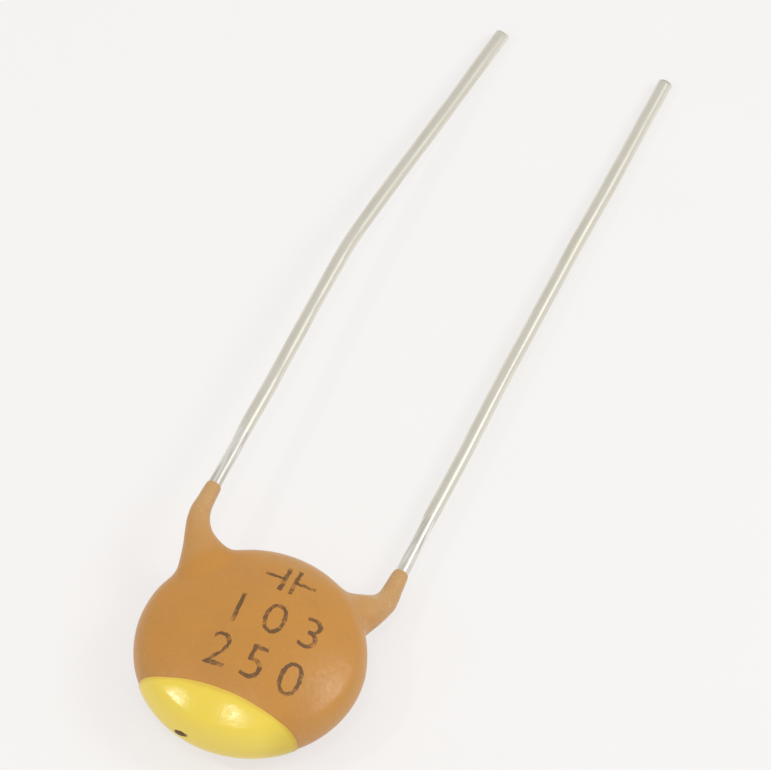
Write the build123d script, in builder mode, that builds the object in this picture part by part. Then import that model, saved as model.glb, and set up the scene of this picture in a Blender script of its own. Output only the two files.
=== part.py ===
from build123d import *
import math
import os

# Ceramic disc capacitor, lying on its rear face on a table at z = 0.
# The origin is the table point under the disc's middle. +Y runs along the leads to their
# tips, +X from the front lead to the rear lead, and +Z up. Sizes are in millimetres.

# Ceramic disc and the fired silver on its two faces
ceramic_diameter = 7.6
ceramic_thickness = 0.9
electrode_diameter = 6.8
electrode_thickness = 0.02

# Leads: bare wire at the body, and a slightly fatter tinned length from there to the tip
wire_diameter = 0.52
tinned_diameter = 0.55
lead_pitch = 7.55
pair_offset = -0.39          # the pair's middle, to one side of the disc's middle
crimp_angle = 25             # how far the inner run slants in, to reach the silver
crimp_run = 4.8
crimp_bend_radius = 1.2
bare_length = 2.6            # wire left untinned past the end of the coating

# Solder under and around each lead's inner run
solder_film = 0.05
solder_height = 0.6
solder_length = 2.4
solder_width = 1.2
solder_end_cover = 0.7       # solder past the wire's inner end

# Dipped coating
rim_wall = 0.56              # coating outside the ceramic's edge
lead_cover = 0.76            # coating over a lead, at the disc's middle
rim_radius = 1.0

# The leg of coating on each lead is a thin sleeve and then a flare into the body. Each
# station of the flare says how far out from the lead's crimp it lies, how much wider and
# taller than the wire it is, and how far its middle leans towards the other leg and sinks
# towards the body's mid-plane.
sleeve_wall = 0.04           # coating round the wire at the leg's free end
front_flare = [
    (0.71, 0.06, 0.06, 0.0, 0.0),
    (0.31, 0.09, 0.08, 0.01, 0.0),
    (-0.04, 0.14, 0.12, 0.06, 0.03),
    (-0.49, 0.22, 0.18, 0.12, 0.07),
    (-0.89, 0.34, 0.25, 0.21, 0.11),
    (-1.29, 0.56, 0.37, 0.37, 0.17),
    (-1.89, 0.84, 0.46, 0.5, 0.24),
    (-2.59, 0.74, 0.4, 0.36, 0.3),
    (-3.29, 0.5, 0.2, 0.25, 0.85),
]
rear_flare = [
    (1.03, 0.1, 0.08, 0.0, 0.0),
    (0.68, 0.14, 0.1, 0.0, 0.0),
    (0.38, 0.19, 0.15, 0.04, 0.03),
    (0.08, 0.3, 0.22, 0.13, 0.08),
    (-0.32, 0.46, 0.32, 0.24, 0.14),
    (-1.12, 0.68, 0.42, 0.34, 0.2),
    (-1.92, 0.8, 0.45, 0.38, 0.24),
    (-2.62, 0.74, 0.4, 0.36, 0.3),
    (-3.32, 0.5, 0.2, 0.25, 0.85),
]

# Yellow paint on the end opposite the leads
paint_thickness = 0.06
paint_reach = 1.54           # how far the paint comes up from the body's lower end

# Each lead's crimp lies just inside the body's edge, and its coating runs on past the edge.
# A kink or tip is how far the lead has drifted in X from its leg, and where it lies along Y.
front_crimp_inset = 0.41
front_coat_run = 1.3
front_kink = (-0.29, 18.0)
front_tip = (0.58, 29.64)
front_kink_share = 0.64      # of the drop from the leg to the table, left at the bend
front_kink_radius = 15

rear_crimp_inset = 0.16
rear_coat_run = 1.72
rear_kink = (-0.41, 18.5)
rear_tip = (-0.55, 30.35)
rear_kink_share = 0.49
rear_kink_radius = 60

# Heights and radii that follow from the stack of pieces
body_diameter = ceramic_diameter + 2 * rim_wall
half_stack = ceramic_thickness / 2 + electrode_thickness
lead_level = half_stack + solder_film + wire_diameter / 2
body_thickness = 2 * (lead_level + wire_diameter / 2 + lead_cover)
middle = body_thickness / 2
body_radius = body_diameter / 2
wire_radius = wire_diameter / 2
tinned_radius = tinned_diameter / 2
paint_line = paint_reach - body_radius
front_crimp_reach = body_radius - front_crimp_inset
front_coat_reach = body_radius + front_coat_run
rear_crimp_reach = body_radius - rear_crimp_inset
rear_coat_reach = body_radius + rear_coat_run

# Each side is -1 or +1 across X. The front lead lies on the upper face, the rear lead on
# the lower one.
FRONT = -1
REAR = 1
front_face = 1
rear_face = -1


def lead_points(side, face, crimp_reach, kink, kink_share, tip):
    """The corners of one lead's axis: inner end, crimp, bend and tip."""
    slant = math.radians(crimp_angle)
    leg_x = pair_offset + side * lead_pitch / 2
    top = middle + face * lead_level
    crimp = Vector(leg_x, crimp_reach, top)
    inner = crimp - Vector(side * math.sin(slant), math.cos(slant), 0) * crimp_run
    kink_z = tinned_radius + kink_share * (top - tinned_radius)
    bend = Vector(leg_x + kink[0], kink[1], kink_z)
    end = Vector(leg_x + tip[0], tip[1], tinned_radius)
    return inner, crimp, bend, end


def reach_point(start, stop, reach):
    """The point of the run from start to stop that lies at y = reach."""
    return start + (stop - start) * ((reach - start.Y) / (stop.Y - start.Y))


def end_plane(line):
    """The plane across the start of a line, facing along it."""
    return Plane(origin=line @ 0, z_dir=line % 0)


def make_lead(points, coat_reach, kink_radius):
    inner, crimp, bend, end = points
    tin_start = reach_point(crimp, bend, coat_reach + bare_length)
    with BuildPart() as lead:
        with BuildLine() as bare_run:
            FilletPolyline(inner, crimp, tin_start, radius=crimp_bend_radius)
        with BuildSketch(end_plane(bare_run.line)):
            Circle(wire_radius)
        sweep(path=bare_run.line)
        with BuildLine() as tinned_run:
            FilletPolyline(tin_start, bend, end, radius=kink_radius)
        with BuildSketch(end_plane(tinned_run.line)):
            Circle(tinned_radius)
        sweep(path=tinned_run.line)
    return lead


def make_solder(points, face, lead):
    """A bead drawn out along the wire's inner end, flat where it wets the silver."""
    inner, crimp = points[:2]
    along = (crimp - inner).normalized()
    centre = inner + along * (solder_length / 2 - solder_end_cover)
    centre = Vector(centre.X, centre.Y, middle + face * half_stack)
    with BuildPart() as solder:
        with BuildSketch(Plane(origin=centre, x_dir=along, z_dir=(0, 0, face))):
            SlotOverall(solder_length, solder_width)
        extrude(amount=solder_height)
        add(lead.part, mode=Mode.SUBTRACT)
    return solder


def lens(growth):
    """The coated body's outline, revolved: two crowned faces and a rounded rim."""
    thickness = middle + growth
    rim = rim_radius + growth
    rim_centre = body_radius - rim_radius
    crown = (rim_centre**2 + thickness**2 - rim**2) / (2 * (thickness - rim))
    turn = math.degrees(math.asin(rim_centre / (crown - rim)))
    with BuildPart() as body:
        with BuildSketch(Plane.XZ.shift_origin((0, 0, middle))):
            with BuildLine():
                top = CenterArc((0, thickness - crown), crown, 90, -turn)
                edge = CenterArc((rim_centre, 0), rim, 90 - turn, 2 * turn - 180)
                base = CenterArc((0, crown - thickness), crown, turn - 90, -turn)
                Line(base @ 1, top @ 0)
            make_face()
        revolve(axis=Axis.Z)
    return body


def make_leg(points, coat_reach, flare, side, face):
    """The coating that ran down one lead: a thin sleeve, then a flare into the body."""
    inner, crimp, bend = points[:3]
    coat_end = reach_point(crimp, bend, coat_reach)
    straight = (coat_end - crimp).length
    sleeve_end = (straight, sleeve_wall, sleeve_wall, 0, 0)
    with BuildPart() as leg:
        with BuildLine():
            run = FilletPolyline(inner, crimp, coat_end, radius=crimp_bend_radius)
        for stretch in ([sleeve_end, flare[0]], flare):
            for out, wide, tall, lean, sink in stretch:
                place = run.length - straight + out
                along = run.tangent_at(place, PositionMode.LENGTH)
                inward = Vector(along.Y, -along.X, 0).normalized() * -side
                centre = run.position_at(place, PositionMode.LENGTH) + inward * lean
                centre = centre - Vector(0, 0, face * sink)
                with BuildSketch(Plane(origin=centre, x_dir=inward, z_dir=along)):
                    Ellipse(wire_radius + wide, wire_radius + tall)
            loft()
    return leg


with BuildPart() as ceramic_disc:
    with BuildSketch(Plane.XY.offset(middle - ceramic_thickness / 2)):
        Circle(ceramic_diameter / 2)
    extrude(amount=ceramic_thickness)

with BuildPart() as front_electrode:
    with BuildSketch(Plane.XY.offset(middle + ceramic_thickness / 2)):
        Circle(electrode_diameter / 2)
    extrude(amount=electrode_thickness)

with BuildPart() as rear_electrode:
    with BuildSketch(Plane.XY.offset(middle - ceramic_thickness / 2)):
        Circle(electrode_diameter / 2)
    extrude(amount=-electrode_thickness)

front_points = lead_points(FRONT, front_face, front_crimp_reach, front_kink, front_kink_share, front_tip)
rear_points = lead_points(REAR, rear_face, rear_crimp_reach, rear_kink, rear_kink_share, rear_tip)
front_lead = make_lead(front_points, front_coat_reach, front_kink_radius)
rear_lead = make_lead(rear_points, rear_coat_reach, rear_kink_radius)

body = lens(0)
painted = lens(paint_thickness)

front_solder = make_solder(front_points, front_face, front_lead)
rear_solder = make_solder(rear_points, rear_face, rear_lead)

front_leg = make_leg(front_points, front_coat_reach, front_flare, FRONT, front_face)
rear_leg = make_leg(rear_points, rear_coat_reach, rear_flare, REAR, rear_face)

# The coating is one skin: the lens and both legs, closed on all that it covers
with BuildPart() as coating:
    add(body.part)
    for leg in (front_leg, rear_leg):
        add(leg.part)
    for covered in (ceramic_disc, front_electrode, rear_electrode, front_solder, rear_solder,
                    front_lead, rear_lead):
        add(covered.part, mode=Mode.SUBTRACT)

# The paint lies on the coating, up to a level line across the leads
with BuildPart() as colour_tip:
    add(painted.part)
    add(body.part, mode=Mode.SUBTRACT)
    split(bisect_by=Plane.XZ.offset(-paint_line))

pieces = {
    "ceramic_disc": ceramic_disc,
    "front_electrode": front_electrode,
    "rear_electrode": rear_electrode,
    "front_solder": front_solder,
    "rear_solder": rear_solder,
    "front_lead": front_lead,
    "rear_lead": rear_lead,
    "coating": coating,
    "colour_tip": colour_tip,
}
os.makedirs("parts", exist_ok=True)
for name, piece in pieces.items():
    piece.part.label = name
    export_step(piece.part, f"parts/{name}.step")
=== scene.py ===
import math

import bpy
from bpy.props import FloatProperty, FloatVectorProperty, PointerProperty, StringProperty
from mathutils import Matrix, Vector


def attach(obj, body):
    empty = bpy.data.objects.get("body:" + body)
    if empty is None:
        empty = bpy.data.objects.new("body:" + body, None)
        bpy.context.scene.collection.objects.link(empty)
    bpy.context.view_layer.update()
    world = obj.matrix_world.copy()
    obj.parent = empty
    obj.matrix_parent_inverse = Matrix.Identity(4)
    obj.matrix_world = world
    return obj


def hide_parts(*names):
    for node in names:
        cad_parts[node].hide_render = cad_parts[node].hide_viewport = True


bl_info = {
    "name": "Ceramic disc capacitor",
    "version": (1, 0, 0),
    "blender": (4, 5, 0),
    "location": "3D View > Sidebar > Capacitor",
    "description": "Dresses the solid model of a dipped ceramic disc capacitor",
    "category": "Object",
}

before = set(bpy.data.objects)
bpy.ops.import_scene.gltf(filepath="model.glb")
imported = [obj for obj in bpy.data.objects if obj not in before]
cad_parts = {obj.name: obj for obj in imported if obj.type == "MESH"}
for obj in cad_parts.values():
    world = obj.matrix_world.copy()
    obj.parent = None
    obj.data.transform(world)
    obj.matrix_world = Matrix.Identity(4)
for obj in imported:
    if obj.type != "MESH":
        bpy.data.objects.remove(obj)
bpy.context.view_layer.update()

# Lengths in this file are in millimetres, and MM turns them into Blender's metres. Points
# of a mesh that are closer than WELD are merged.
MM = 0.001
WELD = 0.0005

# The two leads, each named by its side across X
FRONT = -1
REAR = 1

# Where each lead's axis turns: inner end, crimp, bend and tip
LEAD_CORNERS = {
    FRONT: (
        (-2.136, -0.4, 2.58),
        (-4.165, 3.95, 2.58),
        (-4.455, 18.0, 1.75),
        (-3.585, 29.64, 0.275),
    ),
    REAR: (
        (1.356, -0.15, 1.02),
        (3.385, 4.2, 1.02),
        (2.975, 18.5, 0.64),
        (2.835, 30.35, 0.275),
    ),
}

# The radii of the crimp and the bend, and where the coating on each lead ends along Y
LEAD_BENDS = {FRONT: (1.2, 15.0), REAR: (1.2, 60.0)}
COAT_END = {FRONT: 5.66, REAR: 6.08}

# The rings that round off a cut end: how far back from it, and how much thinner
CUT_RINGS = ((0.07, 0.0), (0.045, 0.006), (0.02, 0.022), (0.005, 0.05), (0.0, 0.08))

# How far the tinned surface ripples in and out, and the wire sways from side to side
TIN_RIPPLE = 0.005
WIRE_SWAY = 0.012

# The resin leg turns more gently than the lead in it does
LEG_BEND = 3.4

# The upper edge of the paint: where it is highest, in X and Y, how strongly it bows, how
# proud the paint stands there and how far its line wanders
PAINT_CREST = (0.55, -2.66)
PAINT_BOW = 0.034
PAINT_EDGE_PROUD = 0.034
PAINT_WANDER = 0.1

# The film of paint reaches down a little way into the resin
PAINT_FILM = 0.09

# The dark spot on the paint: its middle in X and Z, half its width and height, and its tilt
SPOT_PLACE = (-0.84, 1.86)
SPOT_HALF = (0.33, 0.16)
SPOT_TILT = 0.1

# The print is drawn flat over the body, with an edge that wanders, and then laid on it
PRINT_LEVEL = 4.0
INK_WANDER = 0.09

# Where each row of digits starts, in X and Y, and its turn in degrees
DIGIT_ROWS = ((-1.3, -0.06, 4.5), (-1.22, -1.96, 1.5))

# The digits' spacing, their height as a share of the font's size, and how much thinner
# than the font their strokes are
DIGIT_SPACING = 1.42
DIGIT_SHARE = 0.7
STROKE_LOSS = 0.02

# Each bar of the sign as its middle, its width and its height; then the sign's turn in
# degrees and the size of its mesh's cells
SIGN_BARS = (
    (0.29, 2.7, 0.15, 1.3),
    (0.71, 2.7, 0.15, 1.3),
    (-0.12, 2.7, 0.72, 0.13),
    (1.12, 2.7, 0.72, 0.13),
)
SIGN_TURN = 4
SIGN_GRAIN = 0.08

# Colours as they are seen on a screen, from 0 to 1, that the materials mix in
RESIN_SHADOW = (0.6, 0.4, 0.16)
RESIN_SPECK = (0.93, 0.8, 0.62)
SPOT = (0.36, 0.23, 0.1)
WIRE_STREAK = (0.8, 0.78, 0.74)
TIN_PATCH = (0.87, 0.86, 0.81)
CUT_METAL = (0.6, 0.61, 0.5)
CERAMIC_TONES = ((0.66, 0.58, 0.44), (0.58, 0.5, 0.38))
SILVER_TONES = ((0.84, 0.83, 0.78), (0.74, 0.73, 0.69))
SOLDER_TONES = ((0.76, 0.76, 0.74), (0.64, 0.64, 0.62))
FLOOR_PATCH = (0.965, 0.955, 0.95)

# The sky's colour, and its strength as a light and as it is mirrored
SKY = (1, 0.985, 0.96, 1)
SKY_LIGHT = 0.68
SKY_GLOSS = 0.72

# The floor: its radius and its rim's width, the colour of the light that it throws back,
# and how much of what is seen of it glows by itself, so that shadows stay soft
FLOOR_RADIUS = 1200
FLOOR_RIM = 900
FLOOR_BOUNCE = (0.86, 0.85, 0.84, 1)
FLOOR_GLOW = 0.72

# Each lamp's direction, distance, width and power in watts
LAMPS = {
    "Left lamp": ((-0.53, -0.33, 0.78), 140, 12, 0.02),
    "Top lamp": ((0.01, -0.31, 0.95), 140, 11, 0.015),
    "Right lamp": ((0.6, 0.33, 0.7), 150, 56, 0.054),
}

# The leg of resin on each lead, as its sections: how far out from the crimp one lies, how
# much wider and taller than the wire it is, and how far its middle leans in and sinks
FLARES = {
    FRONT: (
        (1.71, 0.02, 0.02, 0.0, 0.0),
        (1.62, 0.045, 0.045, 0.0, 0.0),
        (1.4, 0.06, 0.06, 0.0, 0.0),
        (0.71, 0.1, 0.09, 0.0, 0.0),
        (0.31, 0.165, 0.13, 0.0, 0.0),
        (-0.04, 0.24, 0.18, 0.03, 0.03),
        (-0.49, 0.33, 0.24, 0.1, 0.07),
        (-0.89, 0.47, 0.3, 0.22, 0.11),
        (-1.29, 0.68, 0.38, 0.37, 0.17),
        (-1.89, 0.89, 0.46, 0.46, 0.24),
        (-2.59, 0.74, 0.4, 0.36, 0.3),
        (-3.29, 0.5, 0.2, 0.25, 0.85),
    ),
    REAR: (
        (1.88, 0.02, 0.02, 0.0, 0.0),
        (1.79, 0.05, 0.045, 0.0, 0.0),
        (1.6, 0.075, 0.06, 0.0, 0.0),
        (1.03, 0.11, 0.09, 0.0, 0.0),
        (0.68, 0.15, 0.11, 0.0, 0.0),
        (0.38, 0.22, 0.17, 0.04, 0.03),
        (0.08, 0.33, 0.26, 0.13, 0.12),
        (-0.32, 0.54, 0.4, 0.26, 0.25),
        (-1.12, 0.8, 0.5, 0.42, 0.4),
        (-1.92, 0.95, 0.5, 0.5, 0.5),
        (-2.62, 0.74, 0.4, 0.36, 0.3),
        (-3.32, 0.5, 0.2, 0.25, 0.85),
    ),
}

# The camera: its turn round the part, its height over the horizon and its roll in degrees,
# then its distance, the width that it takes in, its shift to the right and up, and the
# nearest and farthest that it sees
VIEW_TURN = 23.348
VIEW_HEIGHT = 58.058
VIEW_ROLL = 2.33
VIEW_DISTANCE = 1200.0
VIEW_WIDTH = 28.587
VIEW_OFFSET = (4.991, 9.935)
VIEW_CLIP = (100, 10000)


def size(name, description, default):
    """A length in millimetres, shown with its name and description."""
    return FloatProperty(
        name=name, description=description, default=default, min=0.0, precision=3
    )


def shade(name, description, red, green, blue):
    """A colour as it is seen on a screen, from 0 to 255 in each of its parts."""
    return FloatVectorProperty(
        name=name,
        description=description,
        default=(red / 255, green / 255, blue / 255),
        subtype="COLOR_GAMMA",
        min=0.0,
        max=1.0,
    )


class CapacitorSizes(bpy.types.PropertyGroup):
    body_radius: size("Body radius", "Half the coated disc's width, in mm", 4.375)
    body_middle: size("Mid-plane height", "Height of the disc's middle over the table, in mm", 1.8)
    rim_radius: size("Rim radius", "Rounding of the disc's edge, in mm", 1.0)
    wire_radius: size("Wire radius", "Radius of the bare wire, in mm", 0.26)
    tinned_radius: size("Tinned radius", "Radius of the tinned wire, in mm", 0.275)
    bare_length: size("Bare length", "Wire left untinned past the coating, in mm", 2.6)
    resin_grain: size("Resin grain", "Voxel that the dipped skin is gathered with, in mm", 0.055)
    resin_wave: size("Resin wave", "Height of the slow waves in the dipped skin, in mm", 0.03)
    paint_thickness: size("Paint thickness", "Thickness of the paint on the tip, in mm", 0.055)
    digit_height: size("Digit height", "Height of the printed digits, in mm", 1.42)
    ink_thickness: size("Ink thickness", "How far the print stands proud, in mm", 0.007)


class CapacitorColours(bpy.types.PropertyGroup):
    resin: shade("Resin", "Orange-brown of the dipped coating", 198, 138, 58)
    resin_edge: shade("Thin resin", "Paler brown where the coating is thin", 199, 151, 93)
    resin_leg: shade("Resin on the legs", "Pale brown on the leads", 201, 157, 101)
    paint: shade("Paint", "Yellow of the tip", 241, 214, 76)
    # The yellow at the rim is painted lighter: painted light that stands in for the floor's bounce
    # and the sheen where the tip curves away from the lamps
    paint_edge: shade("Paint with painted rim light", "Yellow at the rim of the tip", 244, 218, 104)
    paint_end: shade("Paint over the edge", "Olive tone at the paint's right end", 215, 188, 62)
    ink: shade("Ink", "Brown of the printed digits", 112, 76, 38)
    wire: shade("Bare wire", "Bright wire by the coating", 246, 244, 238)
    tin: shade("Tinned wire", "Solder-dipped wire", 233, 230, 218)
    floor: shade("Floor", "Pale table", 247, 245, 244)


def sizes():
    return bpy.context.scene.capacitor_sizes


def paint_edge(across):
    """Where the paint ends along Y, at a place across the leads, as a number or a term."""
    aside = across - PAINT_CREST[0]
    return PAINT_CREST[1] - PAINT_BOW * aside * aside


def linear(colour):
    """A screen colour as the light that it stands for, with full opacity."""
    parts = []
    for part in colour:
        if part <= 0.04045:
            parts.append(part / 12.92)
        else:
            parts.append(((part + 0.055) / 1.055) ** 2.4)
    return (*parts, 1.0)


def colour(name):
    return linear(getattr(bpy.context.scene.capacitor_colours, name))


class Term:
    """One output of a node, which takes part in sums as a number does."""

    def __init__(self, tree, socket):
        self.tree = tree
        self.socket = socket

    def math(self, operation, first, second):
        settings = {"operation": operation}
        return add_node(self.tree, "ShaderNodeMath", settings, {0: first, 1: second})

    def __add__(self, other):
        return self.math("ADD", self, other)

    def __sub__(self, other):
        return self.math("SUBTRACT", self, other)

    def __rsub__(self, other):
        return self.math("SUBTRACT", other, self)

    def __mul__(self, other):
        return self.math("MULTIPLY", self, other)

    def __rmul__(self, other):
        return self.math("MULTIPLY", other, self)

    def __truediv__(self, other):
        return self.math("DIVIDE", self, other)

    def __pow__(self, other):
        return self.math("POWER", self, other)


def add_node(tree, kind, settings=None, inputs=None, output=0):
    """Adds a node, sets it up, then fills its sockets with numbers or with other terms."""
    node = tree.nodes.new(kind)
    for name, value in (settings or {}).items():
        setattr(node, name, value)
    for key, value in (inputs or {}).items():
        if isinstance(value, Term):
            tree.links.new(value.socket, node.inputs[key])
        else:
            node.inputs[key].default_value = value
    return Term(tree, node.outputs[output]) if node.outputs else None


class Finish:
    """A material in the making: its object coordinates and the terms built on them."""

    def __init__(self, name):
        self.material = bpy.data.materials.new(name)
        self.material.use_nodes = True
        self.tree = self.material.node_tree
        self.tree.nodes.clear()
        self.place = self.node("ShaderNodeTexCoord", output=3)
        parts = self.node("ShaderNodeSeparateXYZ", inputs={0: self.place})
        outputs = parts.socket.node.outputs
        self.x = Term(self.tree, outputs[0]) / MM
        self.y = Term(self.tree, outputs[1]) / MM
        self.z = Term(self.tree, outputs[2]) / MM

    def node(self, kind, settings=None, inputs=None, output=0):
        return add_node(self.tree, kind, settings, inputs, output)

    def noise(self, grain, detail=2.0, roughness=0.5, stretch=(1, 1, 1)):
        """Noise from 0 to 1, with spots of about the grain's size in mm."""
        place = self.node("ShaderNodeMapping", inputs={0: self.place, "Scale": stretch})
        return self.node(
            "ShaderNodeTexNoise",
            inputs={
                "Vector": place,
                "Scale": 1 / (grain * MM),
                "Detail": detail,
                "Roughness": roughness,
            },
        )

    def ramp(self, value, low, high, bottom=0.0, top=1.0):
        """A smooth rise from bottom to top, as a value goes from low to high."""
        return self.node(
            "ShaderNodeMapRange",
            {"interpolation_type": "SMOOTHSTEP"},
            {"Value": value, "From Min": low, "From Max": high, "To Min": bottom, "To Max": top},
        )

    def mix(self, factor, first, second):
        return self.node(
            "ShaderNodeMix",
            {"data_type": "RGBA"},
            {0: factor, 6: first, 7: second},
            output=2,
        )

    def bump(self, height, depth):
        """Relief of a height that runs from 0 to 1, with its depth in mm."""
        return self.node(
            "ShaderNodeBump", inputs={"Strength": 1.0, "Distance": depth * MM, "Height": height}
        )

    def surface(self, **inputs):
        """Ends the material in one shader, and returns the material."""
        shader = self.node(
            "ShaderNodeBsdfPrincipled",
            inputs={name.replace("_", " ").title(): value for name, value in inputs.items()},
        )
        self.node("ShaderNodeOutputMaterial", inputs={0: shader})
        return self.material


# Materials: one function for each, which makes it and returns it


def resin_finish():
    finish = Finish("Dipped resin")
    across = (finish.x * finish.x + finish.y * finish.y) ** 0.5
    slow = finish.noise(1.7, detail=3.0)
    fine = finish.noise(0.22, detail=3.0, roughness=0.6)
    specks = finish.noise(0.09, detail=1.0)
    rim = finish.ramp(across, 3.7, 4.5, top=0.6)
    leg = finish.ramp(finish.y, 2.9, 4.9)
    body = finish.mix(rim + (slow - 0.5) * 0.5, colour("resin"), colour("resin_edge"))
    body = finish.mix(leg, body, colour("resin_leg"))
    darker = finish.ramp(slow + (fine - 0.5) * 0.5, 0.4, 0.75, top=0.14)
    body = finish.mix(darker, body, linear(RESIN_SHADOW))
    pale = finish.ramp(specks, 0.66, 0.72, top=0.4) * finish.ramp(finish.y, 3.2, 4.5, bottom=0.25)
    body = finish.mix(pale, body, linear(RESIN_SPECK))
    relief = finish.bump(finish.noise(0.5, detail=3.0), 0.018)
    grain = finish.bump(fine, 0.004)
    finish.tree.links.new(relief.socket, grain.socket.node.inputs["Normal"])
    return finish.surface(
        base_color=body,
        roughness=finish.ramp(fine, 0.2, 0.8, bottom=0.3, top=0.42),
        normal=grain,
    )


def paint_finish():
    finish = Finish("Tip paint")
    across = (finish.x * finish.x + finish.y * finish.y) ** 0.5
    slow = finish.noise(1.4, detail=2.0)
    fine = finish.noise(0.2, detail=3.0)
    # Lighter towards the rim: painted light, for the floor's bounce and the sheen on the curve
    rim = finish.ramp(across, 3.75, 4.4)
    body = finish.mix(rim * 0.8 + (slow - 0.5) * 0.3, colour("paint"), colour("paint_edge"))
    body = finish.mix(finish.ramp(finish.x, 1.9, 3.3, top=0.85), body, colour("paint_end"))
    inside = paint_edge(finish.x) - finish.y
    thin = finish.ramp(inside + (slow - 0.5) * 0.25, 0.0, 0.2, bottom=0.32, top=0.0)
    body = finish.mix(thin, body, colour("resin"))
    spot_x = (finish.x - SPOT_PLACE[0]) / SPOT_HALF[0]
    spot_z = (finish.z - SPOT_PLACE[1] - spot_x * SPOT_TILT) / SPOT_HALF[1]
    spot = spot_x * spot_x + spot_z * spot_z + (fine - 0.5) * 1.4
    spot = finish.ramp(spot, 0.5, 1.1, bottom=1.0, top=0.0)
    spot = spot * finish.ramp(finish.y, -4.1, -4.0, bottom=1.0, top=0.0)
    body = finish.mix(spot, body, linear(SPOT))
    relief = finish.bump(finish.noise(0.5, detail=3.0), 0.012)
    return finish.surface(
        base_color=body,
        roughness=finish.ramp(fine, 0.2, 0.8, bottom=0.18, top=0.26) + spot * 0.3,
        normal=relief,
    )


def wire_finish(side):
    finish = Finish("Front wire" if side == FRONT else "Rear wire")
    tin_start = COAT_END[side] + sizes().bare_length
    patches = finish.noise(0.7, detail=3.0, stretch=(1, 0.3, 1))
    streaks = finish.noise(0.12, detail=3.0, stretch=(1, 0.06, 1))
    tinned = finish.ramp(finish.y + (patches - 0.5) * 0.6, tin_start - 0.1, tin_start + 0.1)
    bare = finish.mix(finish.ramp(streaks, 0.35, 0.7), colour("wire"), linear(WIRE_STREAK))
    tin = finish.mix(finish.ramp(patches, 0.35, 0.7), colour("tin"), linear(TIN_PATCH))
    body = finish.mix(tinned, bare, tin)
    tip = LEAD_CORNERS[side][3][1]
    dull = finish.ramp(finish.y, tip - 0.12, tip - 0.02, top=0.8)
    body = finish.mix(dull, body, linear(CUT_METAL))
    rough = finish.ramp(patches, 0.3, 0.75, bottom=0.26, top=0.46)
    rough = rough * tinned + (1 - tinned) * finish.ramp(streaks, 0.3, 0.7, bottom=0.24, top=0.34)
    relief = finish.bump(streaks * 0.12 + patches * 0.5, 0.012)
    return finish.surface(base_color=body, metallic=1.0, roughness=rough, normal=relief)


def ink_finish():
    finish = Finish("Printed ink")
    blots = finish.noise(0.35, detail=4.0, roughness=0.65)
    faded = finish.ramp(blots, 0.46, 0.7, top=0.75)
    body = finish.mix(faded, colour("ink"), colour("resin"))
    return finish.surface(
        base_color=body,
        roughness=finish.ramp(blots, 0.3, 0.7, bottom=0.5, top=0.62),
        normal=finish.bump(blots, 0.006),
    )


def ceramic_finish():
    finish = Finish("Sintered ceramic")
    grains = finish.noise(0.12, detail=3.0)
    body = finish.mix(grains, *map(linear, CERAMIC_TONES))
    return finish.surface(base_color=body, roughness=0.7, normal=finish.bump(grains, 0.01))


def silver_finish():
    finish = Finish("Fired silver")
    grains = finish.noise(0.08, detail=3.0)
    body = finish.mix(grains, *map(linear, SILVER_TONES))
    return finish.surface(
        base_color=body,
        metallic=1.0,
        roughness=finish.ramp(grains, 0.3, 0.7, bottom=0.45, top=0.6),
    )


def solder_finish():
    finish = Finish("Soft solder")
    grains = finish.noise(0.25, detail=3.0)
    body = finish.mix(grains, *map(linear, SOLDER_TONES))
    return finish.surface(
        base_color=body,
        metallic=1.0,
        roughness=finish.ramp(grains, 0.3, 0.7, bottom=0.32, top=0.5),
        normal=finish.bump(grains, 0.02),
    )


# Modelling: selection, modifiers and weights, and then the forms


def deselect():
    if bpy.context.object and bpy.context.object.mode != "OBJECT":
        bpy.ops.object.mode_set(mode="OBJECT")
    bpy.ops.object.select_all(action="DESELECT")


def pick(piece):
    deselect()
    piece.select_set(True)
    bpy.context.view_layer.objects.active = piece


def edit(piece, mode="VERT"):
    """Opens a piece for editing, with nothing in it selected."""
    pick(piece)
    bpy.ops.object.mode_set(mode="EDIT")
    bpy.ops.mesh.select_mode(type=mode)
    bpy.ops.mesh.select_all(action="DESELECT")


def close_edit():
    bpy.ops.object.mode_set(mode="OBJECT")


def settle(piece):
    """Moves a piece's place into its mesh, and leaves its object at the origin."""
    pick(piece)
    bpy.ops.object.transform_apply(location=True, rotation=True, scale=True)


def apply_modifier(piece, kind, **settings):
    pick(piece)
    modifier = piece.modifiers.new(kind.title(), kind)
    for name, value in settings.items():
        setattr(modifier, name, value)
    bpy.ops.object.modifier_apply(modifier=modifier.name)


def weigh(piece, name, weight):
    """A vertex group that holds what weight gives for each vertex's place in mm."""
    group = piece.vertex_groups.new(name=name)
    for vertex in piece.data.vertices:
        share = weight(vertex.co / MM)
        if share > 0:
            group.add([vertex.index], min(share, 1.0), "REPLACE")
    return group.name


def step(value, low, high):
    """A smooth rise from 0 to 1 as value goes from low to high."""
    share = min(max((value - low) / (high - low), 0.0), 1.0)
    return share * share * (3 - 2 * share)


def clouds(name, grain):
    """A cloud texture with spots of about the grain's size, made once for each name."""
    texture = bpy.data.textures.get(name)
    if texture is None:
        texture = bpy.data.textures.new(name, "CLOUDS")
        texture.noise_scale = grain * MM
        texture.noise_depth = 1
    return texture


def finish_piece(piece, material, replaced=(), angle=40):
    """Gives a piece its material and its smooth faces, and ties it to the part's body."""
    piece.data.materials.clear()
    piece.data.materials.append(material)
    pick(piece)
    bpy.ops.object.shade_smooth_by_angle(angle=math.radians(angle))
    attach(piece, "root")
    if replaced:
        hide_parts(*replaced)


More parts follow.
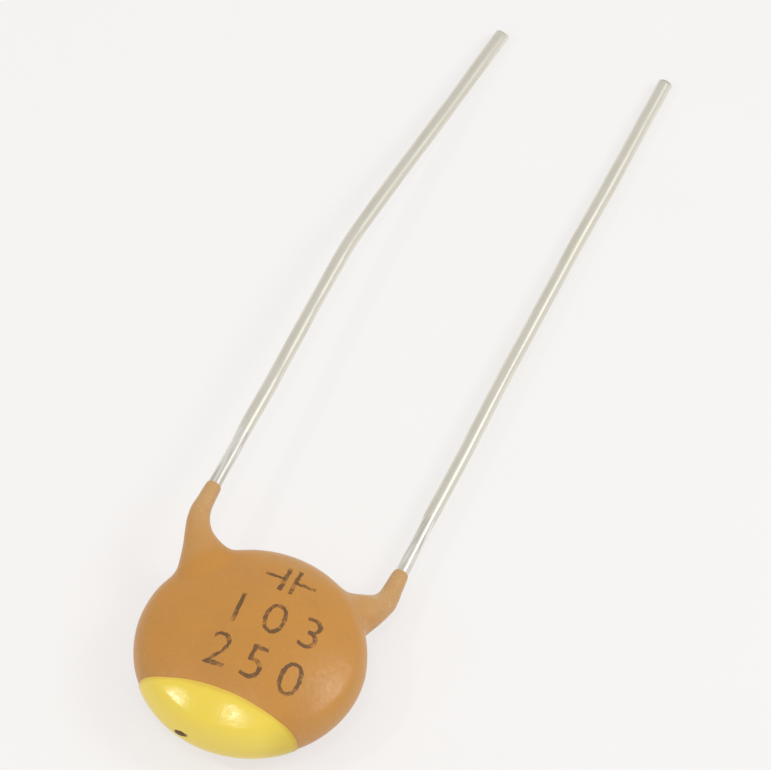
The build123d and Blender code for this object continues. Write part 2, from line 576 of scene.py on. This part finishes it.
def lens_outline(growth):
    """Half the body's section, from the top of the axis to its foot."""
    crown_steps = 30
    rim_steps = 24
    half = sizes().body_middle + growth
    rim = sizes().rim_radius + growth
    rim_centre = sizes().body_radius - sizes().rim_radius
    crown = (rim_centre**2 + half**2 - rim**2) / (2 * (half - rim))
    turn = math.asin(rim_centre / (crown - rim))
    points = []
    for count in range(crown_steps + 1):
        angle = turn * count / crown_steps
        points.append((crown * math.sin(angle), half - crown + crown * math.cos(angle)))
    for count in range(1, rim_steps):
        angle = turn + (math.pi / 2 - turn) * count / rim_steps
        points.append((rim_centre + rim * math.sin(angle), rim * math.cos(angle)))
    points.append((rim_centre + rim, 0.0))
    below = [(across, -height) for across, height in reversed(points[:-1])]
    return points + below


def make_lens(name, growth, turns=144):
    """The body's outline drawn by extruding one corner, then spun round the disc's axis.

    Growth is how far the surface stands out from the body's own.
    """
    outline = [
        Vector((across, 0, sizes().body_middle + height)) * MM
        for across, height in lens_outline(growth)
    ]
    deselect()
    bpy.ops.mesh.primitive_plane_add(size=MM, location=outline[0], enter_editmode=True)
    piece = bpy.context.object
    piece.name = name
    piece.data.name = name
    bpy.ops.mesh.select_mode(type="VERT")
    bpy.ops.mesh.merge(type="CENTER")
    for start, end in zip(outline, outline[1:]):
        bpy.ops.mesh.extrude_region_move(TRANSFORM_OT_translate={"value": end - start})
    bpy.ops.mesh.select_all(action="SELECT")
    bpy.ops.mesh.spin(steps=turns, angle=2 * math.pi, center=(0, 0, 0), axis=(0, 0, 1))
    bpy.ops.mesh.select_all(action="SELECT")
    bpy.ops.mesh.remove_doubles(threshold=WELD * MM)
    bpy.ops.mesh.normals_make_consistent(inside=False)
    close_edit()
    settle(piece)
    return piece


def rounded_run(corners, bends, pace):
    """Points and directions along a line with rounded corners, about a pace apart."""
    corners = [Vector(corner) for corner in corners]
    stops = [corners[0]]
    arcs = []
    for before, corner, after, radius in zip(corners, corners[1:], corners[2:], bends):
        coming = (corner - before).normalized()
        going = (after - corner).normalized()
        turn = coming.angle(going)
        back = radius * math.tan(turn / 2)
        inward = (going - coming).normalized()
        centre = corner + inward * (radius / math.cos(turn / 2))
        axis = coming.cross(going).normalized()
        arcs.append((corner - coming * back, centre, axis, turn, radius))
        stops += [corner - coming * back, corner + going * back]
    stops.append(corners[-1])
    run = []
    for index in range(0, len(stops), 2):
        start, end = stops[index], stops[index + 1]
        direction = (end - start).normalized()
        count = max(2, round((end - start).length / pace))
        for share in range(count + 1):
            run.append((start.lerp(end, share / count), direction))
        if index // 2 < len(arcs):
            first, centre, axis, turn, radius = arcs[index // 2]
            count = max(3, round(radius * turn / pace))
            for share in range(1, count):
                swing = Matrix.Rotation(turn * share / count, 3, axis)
                run.append((centre + swing @ (first - centre), swing @ direction))
    return run


def lengths(run):
    """How far along the run each of its points lies."""
    along = [0.0]
    for (start, _), (end, _) in zip(run, run[1:]):
        along.append(along[-1] + (end - start).length)
    return along


def stretch(factors, axes, centre):
    """Stretches what is selected along the given axes, about a centre."""
    bpy.ops.transform.resize(
        value=factors,
        orient_type="LOCAL",
        orient_matrix=axes,
        orient_matrix_type="LOCAL",
        center_override=centre * MM,
    )


def make_tube(name, rings, edges=32):
    """Rings set along a line, bridged into a wall and closed at both ends.

    A ring is its centre, its direction, its half width and its half height.
    """
    deselect()
    for number, (centre, direction, wide, tall) in enumerate(rings):
        across = Vector((direction.y, -direction.x, 0)).normalized()
        upright = Matrix((across, direction.cross(across) * -1, direction)).transposed()
        bpy.ops.mesh.primitive_circle_add(
            vertices=edges,
            radius=wide * MM,
            location=centre * MM,
            rotation=upright.to_euler(),
            enter_editmode=number == 0,
        )
        if number == 0:
            piece = bpy.context.object
            bpy.ops.mesh.select_mode(type="EDGE")
            bpy.ops.mesh.select_all(action="SELECT")
        stretch((1, tall / wide, 1), upright, centre)
    bpy.ops.mesh.select_all(action="SELECT")
    bpy.ops.mesh.bridge_edge_loops(type="SINGLE")
    bpy.ops.mesh.select_all(action="SELECT")
    bpy.ops.mesh.fill_holes(sides=0)
    bpy.ops.mesh.select_all(action="SELECT")
    bpy.ops.mesh.normals_make_consistent(inside=False)
    close_edit()
    piece.name = name
    piece.data.name = name
    settle(piece)
    walls = sum(len(face.vertices) == 4 for face in piece.data.polygons)
    if walls != edges * (len(rings) - 1):
        raise RuntimeError(f"{name}: {walls} wall faces, not {edges * (len(rings) - 1)}")
    return piece


def blend_row(rows, place):
    """The numbers of a table at one place, by a smooth curve through its rows."""
    rows = sorted(rows)
    place = min(max(place, rows[0][0]), rows[-1][0])
    index = max(i for i, row in enumerate(rows[:-1]) if row[0] <= place)
    start, end = rows[index], rows[index + 1]
    before = rows[max(index - 1, 0)]
    after = rows[min(index + 2, len(rows) - 1)]
    gap = end[0] - start[0]
    share = (place - start[0]) / gap
    result = []
    for column in range(1, len(start)):
        leave = (end[column] - before[column]) / (end[0] - before[0]) * gap
        arrive = (after[column] - start[column]) / (after[0] - start[0]) * gap
        result.append(
            (2 * share**3 - 3 * share**2 + 1) * start[column]
            + (share**3 - 2 * share**2 + share) * leave
            + (3 * share**2 - 2 * share**3) * end[column]
            + (share**3 - share**2) * arrive
        )
    return result


def make_leg(side):
    """The resin on one lead, from inside the body to its thin free end."""
    inner, crimp, bend = LEAD_CORNERS[side][:3]
    share = (COAT_END[side] - crimp[1]) / (bend[1] - crimp[1])
    coat_end = Vector(crimp).lerp(Vector(bend), share)
    run = rounded_run((inner, crimp, coat_end), (LEG_BEND,), pace=0.1)
    along = lengths(run)
    straight = (coat_end - Vector(crimp)).length
    face = 1 if side == FRONT else -1
    rings = []
    for (centre, direction), reach in zip(run, along):
        out = reach - along[-1] + straight
        if out < FLARES[side][-1][0]:
            continue
        wide, tall, lean, sink = blend_row(FLARES[side], out)
        inward = Vector((direction.y, -direction.x, 0)).normalized() * -side
        middle = centre + inward * lean - Vector((0, 0, face * sink))
        rings.append((middle, direction, sizes().wire_radius + wide, sizes().wire_radius + tall))
    return make_tube("leg", rings)


def even_weight(place):
    """How strongly the skin is evened out: fully on the body, and little on the thin legs."""
    return 1 - 0.93 * step(place.y, 3.4, 4.6)


def web_weight(place):
    """Most in the hollows where a leg leaves the body, and nothing out on the legs."""
    across = math.hypot(place.x, place.y)
    aside = min(abs(place.x - LEAD_CORNERS[side][1][0]) for side in (FRONT, REAR))
    hollow = max(1 - step(place.y, 3.4, 4.5), step(aside, 0.55, 1.0))
    return step(across, 3.2, 3.9) * step(place.y, 0.8, 1.8) * hollow


class OBJECT_OT_capacitor_coating(bpy.types.Operator):
    """Make the dipped resin: a spun body and two legs, gathered into one skin"""

    bl_idname = "object.capacitor_coating"
    bl_label = "Coating"

    def execute(self, context):
        skin = make_lens("coating_skin", 0.0)
        legs = [make_leg(side) for side in (FRONT, REAR)]
        pick(skin)
        for leg in legs:
            leg.select_set(True)
        bpy.ops.object.join()
        grain = sizes().resin_grain * MM
        apply_modifier(skin, "REMESH", mode="VOXEL", voxel_size=grain, adaptivity=0.0)
        for name, weight, rounds in (("even", even_weight, 24), ("webs", web_weight, 240)):
            group = weigh(skin, name, weight)
            apply_modifier(skin, "SMOOTH", factor=0.5, iterations=rounds, vertex_group=group)
        wave_skin(skin)
        skin.vertex_groups.clear()
        finish_piece(skin, resin_finish(), ("coating",), angle=60)
        return {"FINISHED"}


def wave_skin(piece):
    """The slow waves that a dipped skin dries with."""
    apply_modifier(
        piece,
        "DISPLACE",
        texture=clouds("Waves", 2.4),
        texture_coords="LOCAL",
        direction="NORMAL",
        mid_level=0.7,
        strength=sizes().resin_wave * MM,
    )


class OBJECT_OT_capacitor_tip(bpy.types.Operator):
    """Make the yellow paint on the end opposite the leads"""

    bl_idname = "object.capacitor_tip"
    bl_label = "Tip paint"

    def execute(self, context):
        tip = make_lens("paint_tip", sizes().paint_thickness, turns=216)
        edit(tip)
        # The edge is cut by lines that touch it, half a millimetre apart
        for count in range(-8, 9):
            across = count / 2
            slope = 2 * PAINT_BOW * (across - PAINT_CREST[0])
            bpy.ops.mesh.select_all(action="SELECT")
            bpy.ops.mesh.bisect(
                plane_co=Vector((across, paint_edge(across), 0)) * MM,
                plane_no=(slope, 1, 0),
                clear_outer=True,
                threshold=0.0001 * MM,
            )
        close_edit()
        thinned = weigh(tip, "thinned", lambda place: self.nearness(place, 0.3, 0.0))
        apply_modifier(
            tip,
            "DISPLACE",
            direction="NORMAL",
            mid_level=0.0,
            strength=(PAINT_EDGE_PROUD - sizes().paint_thickness) * MM,
            vertex_group=thinned,
        )
        loose = weigh(tip, "loose", lambda place: self.nearness(place, 0.35, 0.05))
        apply_modifier(
            tip,
            "DISPLACE",
            texture=clouds("Paint edge", 1.6),
            texture_coords="LOCAL",
            direction="Y",
            mid_level=0.5,
            strength=PAINT_WANDER * MM,
            vertex_group=loose,
        )
        wave_skin(tip)
        apply_modifier(tip, "SOLIDIFY", thickness=PAINT_FILM * MM, offset=-1.0)
        tip.vertex_groups.clear()
        finish_piece(tip, paint_finish(), ("colour_tip",), angle=50)
        return {"FINISHED"}

    @staticmethod
    def nearness(place, far, near):
        """A rise from 0 to 1, as a place comes from far to near the paint's upper edge."""
        return step(place.y - paint_edge(place.x), -far, -near)


class OBJECT_OT_capacitor_leads(bpy.types.Operator):
    """Make both leads: bare by the coating, tinned and a little fatter to their tips"""

    bl_idname = "object.capacitor_leads"
    bl_label = "Leads"

    def execute(self, context):
        bare_radius = sizes().wire_radius
        fatter = sizes().tinned_radius - bare_radius
        for side, name in ((FRONT, "front_wire"), (REAR, "rear_wire")):
            tin_start = COAT_END[side] + sizes().bare_length
            run = rounded_run(LEAD_CORNERS[side], LEAD_BENDS[side], pace=0.2)
            along = lengths(run)
            rings = []
            for (centre, direction), reach in zip(run, along):
                tinned = step(centre.y, tin_start - 0.25, tin_start + 0.25)
                ripple = 0.4 * math.sin(1.7 * reach + side)
                ripple += 0.6 * math.sin(0.61 * reach + 2 * side)
                radius = bare_radius + tinned * (fatter - TIN_RIPPLE * (1 + ripple))
                sway = WIRE_SWAY * math.sin(0.9 * reach + 3 * side) * step(centre.y, 7, 9)
                sway = sway * (1 - step(reach, along[-1] - 3, along[-1]))
                rings.append((centre + Vector((sway, 0, 0)), direction, radius, radius))
            rings = rings[:-1] + self.blunt_end(*rings[-1])
            wire = make_tube(name, rings, edges=28)
            node = "front_lead" if side == FRONT else "rear_lead"
            finish_piece(wire, wire_finish(side), (node,), angle=35)
        return {"FINISHED"}

    @staticmethod
    def blunt_end(centre, direction, wide, tall):
        """The rings that round off a cut end."""
        rings = []
        for back, loss in CUT_RINGS:
            rings.append((centre - direction * back, direction, wide - loss, tall - loss))
        return rings


def lay_on_body(piece):
    """Lays a flat print on the coating, as a thin film of ink."""
    edit(piece, "FACE")
    bpy.ops.mesh.select_all(action="SELECT")
    bpy.ops.mesh.remove_doubles(threshold=WELD * MM)
    bpy.ops.mesh.quads_convert_to_tris()
    for _ in range(3):
        bpy.ops.mesh.subdivide(number_cuts=1)
    close_edit()
    for direction, grain in (("X", 0.17), ("Y", 0.2)):
        apply_modifier(
            piece,
            "DISPLACE",
            texture=clouds(f"Ink edge {direction}", grain),
            texture_coords="LOCAL",
            direction=direction,
            mid_level=0.5,
            strength=INK_WANDER * MM,
        )
    proud = sizes().ink_thickness
    apply_modifier(
        piece,
        "SHRINKWRAP",
        target=bpy.data.objects["coating_skin"],
        wrap_method="PROJECT",
        use_project_z=True,
        use_negative_direction=True,
        use_positive_direction=False,
        offset=proud * MM,
    )
    apply_modifier(piece, "SOLIDIFY", thickness=2 * proud * MM, offset=-1.0)


class OBJECT_OT_capacitor_print(bpy.types.Operator):
    """Print two rows of plain digits and a plain sign on the front face"""

    bl_idname = "object.capacitor_print"
    bl_label = "Print"

    digits: StringProperty(
        name="Digits", description="Rows of digits, from the top", default="103 250"
    )

    def execute(self, context):
        ink = ink_finish()
        rows = zip(self.digits.split(), DIGIT_ROWS)
        for number, (text, (across, foot, turn)) in enumerate(rows):
            deselect()
            bpy.ops.object.text_add(
                location=Vector((across, foot, PRINT_LEVEL)) * MM,
                rotation=(0, 0, math.radians(turn)),
            )
            row = bpy.context.object
            row.data.body = text
            row.data.size = sizes().digit_height * MM / DIGIT_SHARE
            row.data.space_character = DIGIT_SPACING
            row.data.offset = -STROKE_LOSS * MM
            row.data.resolution_u = 6
            bpy.ops.object.convert(target="MESH")
            row = bpy.context.object
            row.name = f"digits_{number + 1}"
            settle(row)
            lay_on_body(row)
            finish_piece(row, ink)
        sign = self.make_sign()
        lay_on_body(sign)
        finish_piece(sign, ink)
        return {"FINISHED"}

    @staticmethod
    def make_sign():
        """Two short bars side by side, with a stub of line from each."""
        deselect()
        turn = Matrix.Rotation(math.radians(SIGN_TURN), 3, "Z")
        for number, (across, up, wide, tall) in enumerate(SIGN_BARS):
            centre = turn @ Vector((across, up, PRINT_LEVEL))
            bpy.ops.mesh.primitive_grid_add(
                x_subdivisions=max(2, round(wide / SIGN_GRAIN)),
                y_subdivisions=max(2, round(tall / SIGN_GRAIN)),
                size=MM,
                location=centre * MM,
                rotation=(0, 0, math.radians(SIGN_TURN)),
                enter_editmode=number == 0,
            )
            if number == 0:
                bpy.ops.mesh.select_all(action="SELECT")
            stretch((wide, tall, 1), turn, centre)
        close_edit()
        sign = bpy.context.object
        sign.name = "sign"
        settle(sign)
        return sign


class OBJECT_OT_capacitor_core(bpy.types.Operator):
    """Give the pieces inside the coating their finishes"""

    bl_idname = "object.capacitor_core"
    bl_label = "Core"

    def execute(self, context):
        finishes = (
            (ceramic_finish(), ("ceramic_disc",)),
            (silver_finish(), ("front_electrode", "rear_electrode")),
            (solder_finish(), ("front_solder", "rear_solder")),
        )
        for material, nodes in finishes:
            for node in nodes:
                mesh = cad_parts[node].data
                mesh.materials.clear()
                mesh.materials.append(material)
        return {"FINISHED"}


def add_lamp(name, towards, distance, width, power):
    """A round soft lamp that shines on the disc from a given direction."""
    direction = Vector(towards).normalized()
    bpy.ops.object.light_add(
        type="AREA",
        location=direction * distance * MM,
        rotation=direction.to_track_quat("Z", "Y").to_euler(),
    )
    lamp = bpy.context.object
    lamp.name = name
    lamp.data.shape = "DISK"
    lamp.data.size = width * MM
    lamp.data.energy = power


class OBJECT_OT_capacitor_stage(bpy.types.Operator):
    """Set up the pale floor, the soft light and the camera"""

    bl_idname = "object.capacitor_stage"
    bl_label = "Stage"

    def execute(self, context):
        self.make_floor()
        self.make_world()
        for name, facts in LAMPS.items():
            add_lamp(name, *facts)
        self.make_camera()
        bpy.context.scene.view_settings.view_transform = "Standard"
        return {"FINISHED"}

    @staticmethod
    def make_floor():
        """A pale table that shows soft shadows, and lights the part as plain paper does."""
        deselect()
        bpy.ops.mesh.primitive_circle_add(
            vertices=96, radius=FLOOR_RADIUS * MM, fill_type="NGON", enter_editmode=True
        )
        bpy.ops.mesh.inset(thickness=FLOOR_RIM * MM)
        close_edit()
        floor = bpy.context.object
        floor.name = "floor"
        finish = Finish("Pale floor")
        patches = finish.ramp(finish.noise(6.0), 0.3, 0.7, top=0.5)
        paper = finish.mix(patches, colour("floor"), linear(FLOOR_PATCH))
        rays = finish.node("ShaderNodeLightPath").socket.node.outputs
        direct = Term(finish.tree, rays["Is Camera Ray"])
        seen = direct + Term(finish.tree, rays["Is Glossy Ray"])
        shadowed = finish.node("ShaderNodeBsdfDiffuse", inputs={0: paper})
        glow = finish.node("ShaderNodeEmission", inputs={0: paper, 1: 1.0})
        plain = finish.node("ShaderNodeBsdfDiffuse", inputs={0: FLOOR_BOUNCE})
        shown = finish.node("ShaderNodeMixShader", inputs={0: FLOOR_GLOW, 1: shadowed, 2: glow})
        both = finish.node("ShaderNodeMixShader", inputs={0: seen, 1: plain, 2: shown})
        finish.node("ShaderNodeOutputMaterial", inputs={0: both})
        floor.data.materials.append(finish.material)

    @staticmethod
    def make_world():
        """A bright sky for the light and the reflections, and the floor's tone behind."""
        world = bpy.data.worlds.new("Studio")
        world.use_nodes = True
        bpy.context.scene.world = world
        tree = world.node_tree
        tree.nodes.clear()
        seen = add_node(tree, "ShaderNodeLightPath")
        mirrored = Term(tree, seen.socket.node.outputs["Is Glossy Ray"])
        light = add_node(tree, "ShaderNodeBackground", inputs={0: SKY, 1: SKY_LIGHT})
        back = add_node(tree, "ShaderNodeBackground", inputs={0: colour("floor"), 1: 1.0})
        gloss = add_node(tree, "ShaderNodeBackground", inputs={0: SKY, 1: SKY_GLOSS})
        lit = add_node(tree, "ShaderNodeMixShader", inputs={0: mirrored, 1: light, 2: gloss})
        both = add_node(tree, "ShaderNodeMixShader", inputs={0: seen, 1: lit, 2: back})
        add_node(tree, "ShaderNodeOutputWorld", inputs={0: both})

    @staticmethod
    def make_camera():
        """The photo's view, from far away through a long lens."""
        turn = math.radians(VIEW_TURN)
        height = math.radians(VIEW_HEIGHT)
        roll = math.radians(VIEW_ROLL)
        right = Vector((math.cos(turn), math.sin(turn), 0))
        level = Vector((math.sin(turn), -math.cos(turn), 0))
        back = level * math.cos(height) + Vector((0, 0, math.sin(height)))
        up = back.cross(right)
        rolled_right = right * math.cos(roll) + up * math.sin(roll)
        rolled_up = up * math.cos(roll) - right * math.sin(roll)
        centre = Vector((0, 0, sizes().body_middle))
        centre += rolled_right * VIEW_OFFSET[0] + rolled_up * VIEW_OFFSET[1]
        pose = Matrix((rolled_right, rolled_up, back)).transposed().to_4x4()
        pose.translation = (centre + back * VIEW_DISTANCE) * MM
        bpy.ops.object.camera_add()
        camera = bpy.context.object
        camera.matrix_world = pose
        camera.data.lens = camera.data.sensor_width * VIEW_DISTANCE / VIEW_WIDTH
        camera.data.clip_start = VIEW_CLIP[0] * MM
        camera.data.clip_end = VIEW_CLIP[1] * MM
        bpy.context.scene.camera = camera


OPERATORS = (
    OBJECT_OT_capacitor_coating,
    OBJECT_OT_capacitor_tip,
    OBJECT_OT_capacitor_leads,
    OBJECT_OT_capacitor_print,
    OBJECT_OT_capacitor_core,
    OBJECT_OT_capacitor_stage,
)


class VIEW3D_PT_capacitor(bpy.types.Panel):
    """The sizes, the colours and the steps that make the capacitor"""

    bl_label = "Ceramic disc capacitor"
    bl_space_type = "VIEW_3D"
    bl_region_type = "UI"
    bl_category = "Capacitor"

    def draw(self, context):
        for group in (context.scene.capacitor_sizes, context.scene.capacitor_colours):
            column = self.layout.column()
            for name in group.__annotations__:
                column.prop(group, name)
        for operator in OPERATORS:
            self.layout.operator(operator.bl_idname)


CLASSES = (CapacitorSizes, CapacitorColours, *OPERATORS, VIEW3D_PT_capacitor)


def register():
    for item in CLASSES:
        bpy.utils.register_class(item)
    bpy.types.Scene.capacitor_sizes = PointerProperty(type=CapacitorSizes)
    bpy.types.Scene.capacitor_colours = PointerProperty(type=CapacitorColours)


def unregister():
    del bpy.types.Scene.capacitor_colours
    del bpy.types.Scene.capacitor_sizes
    for item in reversed(CLASSES):
        bpy.utils.unregister_class(item)


def main():
    register()
    bpy.ops.object.capacitor_coating()
    bpy.ops.object.capacitor_tip()
    bpy.ops.object.capacitor_leads()
    bpy.ops.object.capacitor_print()
    bpy.ops.object.capacitor_core()
    bpy.ops.object.capacitor_stage()


if __name__ == "__main__":
    main()
